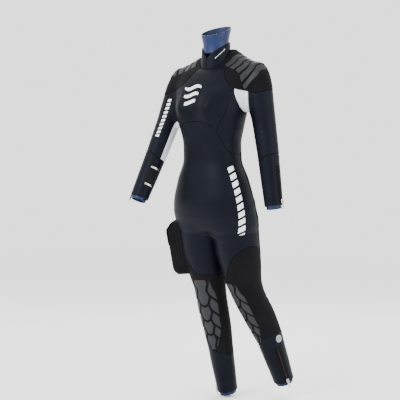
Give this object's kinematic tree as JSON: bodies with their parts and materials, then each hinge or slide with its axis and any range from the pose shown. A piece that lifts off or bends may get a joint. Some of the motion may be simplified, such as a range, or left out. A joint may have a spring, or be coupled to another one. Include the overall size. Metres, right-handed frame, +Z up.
{
  "type": "full wetsuit",
  "caption": "Full-length cold-water wetsuit shaped as worn, with neck, wrist and ankle seals, cuff zips, a shoulder zip, knee and shoulder guards and a thigh pocket.",
  "frame": {"origin": "centre of the neck opening at the level of the nape", "axes": "+Z up out of the neck opening, -Y towards the front of the chest, +X towards the wearer's left"},
  "size_m": [0.5735, 0.5617, 1.4678],
  "materials": {
    "smooth_neoprene": "smooth nylon-lined neoprene, satin",
    "tough_knit": "abrasion-resistant knit over neoprene, matte",
    "white_knit": "knit over neoprene, matte",
    "blue_skin": "smooth coated seal skin, satin sheen",
    "guard_print": "printed rubber, matte",
    "zip_tape": "woven tape, matte",
    "zip_teeth": "moulded",
    "cast_metal": "cast, polished"
  },
  "bodies": {
    "suit": {"ankle_seal_left": "blue_skin", "ankle_seal_right": "blue_skin", "ankle_zip_tape_left": "zip_tape", "ankle_zip_tape_right": "zip_tape", "ankle_zip_teeth_left": "zip_teeth", "ankle_zip_teeth_right": "zip_teeth", "back_zip_tape": "zip_tape", "back_zip_teeth": "zip_teeth", "calf_badge_left": "guard_print", "calf_panel_left": "smooth_neoprene", "calf_panel_right": "smooth_neoprene", "chest_panel": "smooth_neoprene", "collar": "smooth_neoprene", "forearm_left": "smooth_neoprene", "forearm_pad_right": "tough_knit", "forearm_right": "smooth_neoprene", "front_panel": "smooth_neoprene", "knee_guard_left": "guard_print", "knee_guard_right": "guard_print", "knee_panel_left": "tough_knit", "knee_panel_right": "tough_knit", "neck_seal": "blue_skin", "pocket_body": "tough_knit", "seat_panel": "tough_knit", "shoulder_guard_left": "guard_print", "shoulder_guard_right": "guard_print", "shoulder_panel_left": "tough_knit", "shoulder_panel_right": "tough_knit", "side_panel_left": "smooth_neoprene", "side_panel_right": "smooth_neoprene", "underarm_panel_left": "white_knit", "underarm_panel_right": "white_knit", "upper_back_panel": "smooth_neoprene", "upper_sleeve_left": "smooth_neoprene", "upper_sleeve_right": "smooth_neoprene", "wrist_seal_left": "blue_skin", "wrist_seal_right": "blue_skin", "wrist_zip_tape_left": "zip_tape", "wrist_zip_tape_right": "zip_tape", "wrist_zip_teeth_left": "zip_teeth", "wrist_zip_teeth_right": "zip_teeth"},
    "wrist_slider_left": {"wrist_zip_slider_left": "cast_metal"},
    "wrist_puller_left": {"wrist_zip_puller_left": "cast_metal"},
    "wrist_slider_right": {"wrist_zip_slider_right": "cast_metal"},
    "wrist_puller_right": {"wrist_zip_puller_right": "cast_metal"},
    "ankle_slider_left": {"ankle_zip_slider_left": "cast_metal"},
    "ankle_puller_left": {"ankle_zip_puller_left": "cast_metal"},
    "ankle_slider_right": {"ankle_zip_slider_right": "cast_metal"},
    "ankle_puller_right": {"ankle_zip_puller_right": "cast_metal"},
    "back_slider": {"back_zip_slider": "cast_metal"},
    "back_puller": {"back_zip_puller": "cast_metal"},
    "flap": {"pocket_flap": "tough_knit"}
  },
  "joints": [
    {"name": "wrist_zip_left", "type": "slide", "parent": "suit", "child": "wrist_slider_left", "axis": [-0.1439, 0.058, 0.9879], "range_m": [0, 0.126]},
    {"name": "wrist_pull_left", "type": "hinge", "parent": "wrist_slider_left", "child": "wrist_puller_left", "pos_m": [0.30441, 0.01274, -0.58813], "axis": [-0.0069, -0.9983, 0.0576], "range_deg": [0, 170]},
    {"name": "wrist_zip_right", "type": "slide", "parent": "suit", "child": "wrist_slider_right", "axis": [0.0804, 0.4262, 0.901], "range_m": [0, 0.126]},
    {"name": "wrist_pull_right", "type": "hinge", "parent": "wrist_slider_right", "child": "wrist_puller_right", "pos_m": [-0.26066, -0.19634, -0.564], "axis": [-0.0487, 0.9046, -0.4235], "range_deg": [0, 170]},
    {"name": "ankle_zip_left", "type": "slide", "parent": "suit", "child": "ankle_slider_left", "axis": [-0.0201, -0.4436, 0.896], "range_m": [0, 0.141]},
    {"name": "ankle_pull_left", "type": "hinge", "parent": "ankle_slider_left", "child": "ankle_puller_left", "pos_m": [0.16248, 0.26184, -1.31648], "axis": [-0.5186, -0.7615, -0.3887], "range_deg": [0, 170]},
    {"name": "ankle_zip_right", "type": "slide", "parent": "suit", "child": "ankle_slider_right", "axis": [-0.0798, -0.2278, 0.9704], "range_m": [0, 0.141]},
    {"name": "ankle_pull_right", "type": "hinge", "parent": "ankle_slider_right", "child": "ankle_puller_right", "pos_m": [-0.11086, 0.14644, -1.35507], "axis": [-0.2693, 0.9423, 0.199], "range_deg": [0, 170]},
    {"name": "back_zip", "type": "hinge", "parent": "suit", "child": "back_slider", "pos_m": [0, -0.273, -0.122], "axis": [0, 0, 1], "range_deg": [0, 32.86]},
    {"name": "back_pull", "type": "hinge", "parent": "back_slider", "child": "back_puller", "pos_m": [0.10145, 0.07103, -0.122], "axis": [0, 0, 1], "range_deg": [0, 170]},
    {"name": "pocket_flap_fold", "type": "hinge", "parent": "suit", "child": "flap", "pos_m": [-0.17393, -0.02491, -0.66691], "axis": [-0.2705, 0.9397, 0.209], "range_deg": [0, 110]}
  ]
}
